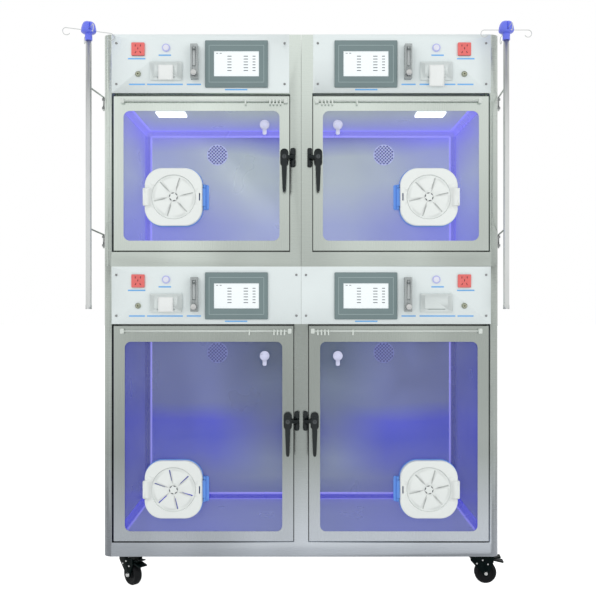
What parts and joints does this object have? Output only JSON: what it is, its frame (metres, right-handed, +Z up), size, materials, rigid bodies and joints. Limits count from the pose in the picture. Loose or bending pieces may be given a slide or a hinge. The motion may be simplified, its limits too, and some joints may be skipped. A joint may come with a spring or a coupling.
{
  "type": "veterinary icu cage",
  "caption": "Stacked stainless steel intensive care cage with glazed doors, round access ports, control panels, infusion poles and swivel casters.",
  "frame": {"origin": "on the floor under the middle of the whole outline, poles and hooks included", "axes": "+X to the viewer's right, doors face -Y, +Z up"},
  "size_m": [1.578, 0.8349, 1.936],
  "materials": {
    "stainless_shell": "brushed stainless steel",
    "stainless_liner": "satin stainless steel, coved",
    "door_steel": "brushed stainless steel",
    "door_glass": "clear toughened glass",
    "gasket_rubber": "matt rubber",
    "panel_white": "satin white enamel",
    "screen_bezel": "fine textured plastic",
    "meter_acrylic": "clear polished acrylic",
    "printer_plastic": "satin moulded plastic",
    "outlet_red": "satin moulded plastic",
    "screw_steel": "polished",
    "latch_black": "satin black coating",
    "bracket_steel": "satin",
    "caster_black": "satin black coating",
    "wheel_black": "smooth tread",
    "port_white": "satin moulded plastic",
    "plug_white": "soft translucent silicone",
    "knob_silver": "turned",
    "button_violet": "lit ring button",
    "pole_steel": "polished tube",
    "head_blue": "smooth moulded plastic"
  },
  "bodies": {
    "cabinet": {"lower_shell": "stainless_shell", "upper_left_shell": "stainless_shell", "upper_right_shell": "stainless_shell", "chamber_liners": "stainless_liner", "door_gaskets": "gasket_rubber", "control_panels": "panel_white", "touchscreens": "screen_bezel", "flowmeters": "meter_acrylic", "printers": "printer_plastic", "panel_outlets": "outlet_red", "panel_screws": "screw_steel", "latch_keepers": "latch_black", "pole_brackets": "bracket_steel", "caster_plates": "caster_black"},
    "lower_left_door": {"lower_left_door_frame": "door_steel", "lower_left_door_glass": "door_glass"},
    "lower_left_latch": {"lower_left_latch": "latch_black"},
    "lower_left_port_door": {"lower_left_port_door": "port_white"},
    "lower_left_vent_rotor": {"lower_left_vent_rotor": "port_white"},
    "lower_left_tube_plug": {"lower_left_tube_plug": "plug_white"},
    "lower_left_flow_knob": {"lower_left_flow_knob": "knob_silver"},
    "lower_left_power_button": {"lower_left_power_button": "button_violet"},
    "lower_right_door": {"lower_right_door_frame": "door_steel", "lower_right_door_glass": "door_glass"},
    "lower_right_latch": {"lower_right_latch": "latch_black"},
    "lower_right_port_door": {"lower_right_port_door": "port_white"},
    "lower_right_vent_rotor": {"lower_right_vent_rotor": "port_white"},
    "lower_right_tube_plug": {"lower_right_tube_plug": "plug_white"},
    "lower_right_flow_knob": {"lower_right_flow_knob": "knob_silver"},
    "lower_right_power_button": {"lower_right_power_button": "button_violet"},
    "upper_left_door": {"upper_left_door_frame": "door_steel", "upper_left_door_glass": "door_glass"},
    "upper_left_latch": {"upper_left_latch": "latch_black"},
    "upper_left_port_door": {"upper_left_port_door": "port_white"},
    "upper_left_vent_rotor": {"upper_left_vent_rotor": "port_white"},
    "upper_left_tube_plug": {"upper_left_tube_plug": "plug_white"},
    "upper_left_flow_knob": {"upper_left_flow_knob": "knob_silver"},
    "upper_left_power_button": {"upper_left_power_button": "button_violet"},
    "upper_right_door": {"upper_right_door_frame": "door_steel", "upper_right_door_glass": "door_glass"},
    "upper_right_latch": {"upper_right_latch": "latch_black"},
    "upper_right_port_door": {"upper_right_port_door": "port_white"},
    "upper_right_vent_rotor": {"upper_right_vent_rotor": "port_white"},
    "upper_right_tube_plug": {"upper_right_tube_plug": "plug_white"},
    "upper_right_flow_knob": {"upper_right_flow_knob": "knob_silver"},
    "upper_right_power_button": {"upper_right_power_button": "button_violet"},
    "left_pole": {"left_iv_pole": "pole_steel", "left_iv_head": "head_blue"},
    "right_pole": {"right_iv_pole": "pole_steel", "right_iv_head": "head_blue"},
    "front_left_fork": {"front_left_caster_fork": "caster_black"},
    "front_left_wheel": {"front_left_caster_wheel": "wheel_black"},
    "front_left_pedal": {"front_left_brake_pedal": "caster_black"},
    "front_right_fork": {"front_right_caster_fork": "caster_black"},
    "front_right_wheel": {"front_right_caster_wheel": "wheel_black"},
    "front_right_pedal": {"front_right_brake_pedal": "caster_black"},
    "rear_left_fork": {"rear_left_caster_fork": "caster_black"},
    "rear_left_wheel": {"rear_left_caster_wheel": "wheel_black"},
    "rear_right_fork": {"rear_right_caster_fork": "caster_black"},
    "rear_right_wheel": {"rear_right_caster_wheel": "wheel_black"}
  },
  "joints": [
    {"name": "lower_left_door_hinge", "type": "hinge", "parent": "cabinet", "child": "lower_left_door", "pos_m": [-0.635, -0.275, 0.534], "axis": [0, 0, -1], "range_deg": [0, 100]},
    {"name": "lower_left_latch_turn", "type": "hinge", "parent": "lower_left_door", "child": "lower_left_latch", "pos_m": [-0.046, -0.284, 0.578], "axis": [0, 1, 0], "range_deg": [0, 90]},
    {"name": "lower_left_port_hinge", "type": "hinge", "parent": "lower_left_door", "child": "lower_left_port_door", "pos_m": [-0.331, -0.2935, 0.3465], "axis": [0, 0, 1], "range_deg": [0, 110]},
    {"name": "lower_left_vent_turn", "type": "hinge", "parent": "lower_left_port_door", "child": "lower_left_vent_rotor", "pos_m": [-0.435, -0.308, 0.3465], "axis": [0, -1, 0], "range_deg": [-30, 0]},
    {"name": "lower_left_plug_pull", "type": "slide", "parent": "lower_left_door", "child": "lower_left_tube_plug", "axis": [0, -1, 0], "range_m": [0, 0.03]},
    {"name": "lower_left_knob_turn", "type": "hinge", "parent": "cabinet", "child": "lower_left_flow_knob", "pos_m": [-0.365, -0.284, 0.969], "axis": [0, -1, 0], "range_deg": [0, 270]},
    {"name": "lower_left_button_press", "type": "slide", "parent": "cabinet", "child": "lower_left_power_button", "axis": [0, 1, 0], "range_m": [0, 0.0025], "stiffness_N_per_m": 400},
    {"name": "lower_right_door_hinge", "type": "hinge", "parent": "cabinet", "child": "lower_right_door", "pos_m": [0.635, -0.275, 0.534], "axis": [0, 0, 1], "range_deg": [0, 100]},
    {"name": "lower_right_latch_turn", "type": "hinge", "parent": "lower_right_door", "child": "lower_right_latch", "pos_m": [0.046, -0.284, 0.578], "axis": [0, -1, 0], "range_deg": [0, 90]},
    {"name": "lower_right_port_hinge", "type": "hinge", "parent": "lower_right_door", "child": "lower_right_port_door", "pos_m": [0.331, -0.2935, 0.3465], "axis": [0, 0, -1], "range_deg": [0, 110]},
    {"name": "lower_right_vent_turn", "type": "hinge", "parent": "lower_right_port_door", "child": "lower_right_vent_rotor", "pos_m": [0.435, -0.308, 0.3465], "axis": [0, -1, 0], "range_deg": [0, 30]},
    {"name": "lower_right_plug_pull", "type": "slide", "parent": "lower_right_door", "child": "lower_right_tube_plug", "axis": [0, -1, 0], "range_m": [0, 0.03]},
    {"name": "lower_right_knob_turn", "type": "hinge", "parent": "cabinet", "child": "lower_right_flow_knob", "pos_m": [0.365, -0.284, 0.969], "axis": [0, -1, 0], "range_deg": [0, 270]},
    {"name": "lower_right_button_press", "type": "slide", "parent": "cabinet", "child": "lower_right_power_button", "axis": [0, 1, 0], "range_m": [0, 0.0025], "stiffness_N_per_m": 400},
    {"name": "upper_left_door_hinge", "type": "hinge", "parent": "cabinet", "child": "upper_left_door", "pos_m": [-0.635, -0.275, 1.4265], "axis": [0, 0, -1], "range_deg": [0, 100]},
    {"name": "upper_left_latch_turn", "type": "hinge", "parent": "upper_left_door", "child": "upper_left_latch", "pos_m": [-0.05775, -0.284, 1.48], "axis": [0, 1, 0], "range_deg": [0, 90]},
    {"name": "upper_left_port_hinge", "type": "hinge", "parent": "upper_left_door", "child": "upper_left_port_door", "pos_m": [-0.331, -0.2935, 1.3435], "axis": [0, 0, 1], "range_deg": [0, 110]},
    {"name": "upper_left_vent_turn", "type": "hinge", "parent": "upper_left_port_door", "child": "upper_left_vent_rotor", "pos_m": [-0.435, -0.308, 1.3435], "axis": [0, -1, 0], "range_deg": [0, 30]},
    {"name": "upper_left_plug_pull", "type": "slide", "parent": "upper_left_door", "child": "upper_left_tube_plug", "axis": [0, -1, 0], "range_m": [0, 0.03]},
    {"name": "upper_left_knob_turn", "type": "hinge", "parent": "cabinet", "child": "upper_left_flow_knob", "pos_m": [-0.365, -0.284, 1.763], "axis": [0, -1, 0], "range_deg": [0, 270]},
    {"name": "upper_left_button_press", "type": "slide", "parent": "cabinet", "child": "upper_left_power_button", "axis": [0, 1, 0], "range_m": [0, 0.0025], "stiffness_N_per_m": 400},
    {"name": "upper_right_door_hinge", "type": "hinge", "parent": "cabinet", "child": "upper_right_door", "pos_m": [0.635, -0.275, 1.4265], "axis": [0, 0, 1], "range_deg": [0, 100]},
    {"name": "upper_right_latch_turn", "type": "hinge", "parent": "upper_right_door", "child": "upper_right_latch", "pos_m": [0.05775, -0.284, 1.48], "axis": [0, -1, 0], "range_deg": [0, 90]},
    {"name": "upper_right_port_hinge", "type": "hinge", "parent": "upper_right_door", "child": "upper_right_port_door", "pos_m": [0.331, -0.2935, 1.3435], "axis": [0, 0, -1], "range_deg": [0, 110]},
    {"name": "upper_right_vent_turn", "type": "hinge", "parent": "upper_right_port_door", "child": "upper_right_vent_rotor", "pos_m": [0.435, -0.308, 1.3435], "axis": [0, -1, 0], "range_deg": [0, 30]},
    {"name": "upper_right_plug_pull", "type": "slide", "parent": "upper_right_door", "child": "upper_right_tube_plug", "axis": [0, -1, 0], "range_m": [0, 0.03]},
    {"name": "upper_right_knob_turn", "type": "hinge", "parent": "cabinet", "child": "upper_right_flow_knob", "pos_m": [0.365, -0.284, 1.763], "axis": [0, -1, 0], "range_deg": [0, 270]},
    {"name": "upper_right_button_press", "type": "slide", "parent": "cabinet", "child": "upper_right_power_button", "axis": [0, 1, 0], "range_m": [0, 0.0025], "stiffness_N_per_m": 400},
    {"name": "left_pole_swing", "type": "hinge", "parent": "cabinet", "child": "left_pole", "pos_m": [-0.689, -0.234, 1.4375], "axis": [0, 0, -1], "range_deg": [0, 90]},
    {"name": "right_pole_swing", "type": "hinge", "parent": "cabinet", "child": "right_pole", "pos_m": [0.689, -0.234, 1.4375], "axis": [0, 0, 1], "range_deg": [0, 90]},
    {"name": "front_left_swivel", "type": "hinge", "parent": "cabinet", "child": "front_left_fork", "pos_m": [-0.612, -0.209, 0.1077], "axis": [0, 0, 1], "continuous": true},
    {"name": "front_left_roll", "type": "hinge", "parent": "front_left_fork", "child": "front_left_wheel", "pos_m": [-0.58725, -0.23375, 0.038], "axis": [0.7071, 0.7071, 0], "continuous": true},
    {"name": "front_left_brake_press", "type": "hinge", "parent": "front_left_fork", "child": "front_left_pedal", "pos_m": [-0.57311, -0.24789, 0.086], "axis": [0.7071, 0.7071, 0], "range_deg": [0, 12]},
    {"name": "front_right_swivel", "type": "hinge", "parent": "cabinet", "child": "front_right_fork", "pos_m": [0.612, -0.209, 0.1077], "axis": [0, 0, 1], "continuous": true},
    {"name": "front_right_roll", "type": "hinge", "parent": "front_right_fork", "child": "front_right_wheel", "pos_m": [0.64687, -0.21205, 0.038], "axis": [0.0872, 0.9962, 0], "continuous": true},
    {"name": "front_right_brake_press", "type": "hinge", "parent": "front_right_fork", "child": "front_right_pedal", "pos_m": [0.66679, -0.21379, 0.086], "axis": [0.0872, 0.9962, 0], "range_deg": [0, 12]},
    {"name": "rear_left_swivel", "type": "hinge", "parent": "cabinet", "child": "rear_left_fork", "pos_m": [-0.612, 0.341, 0.1077], "axis": [0, 0, 1], "continuous": true},
    {"name": "rear_left_roll", "type": "hinge", "parent": "rear_left_fork", "child": "rear_left_wheel", "pos_m": [-0.64489, 0.32903, 0.038], "axis": [0.342, -0.9397, 0], "continuous": true},
    {"name": "rear_right_swivel", "type": "hinge", "parent": "cabinet", "child": "rear_right_fork", "pos_m": [0.612, 0.341, 0.1077], "axis": [0, 0, 1], "continuous": true},
    {"name": "rear_right_roll", "type": "hinge", "parent": "rear_right_fork", "child": "rear_right_wheel", "pos_m": [0.57911, 0.35297, 0.038], "axis": [-0.342, -0.9397, 0], "continuous": true}
  ]
}
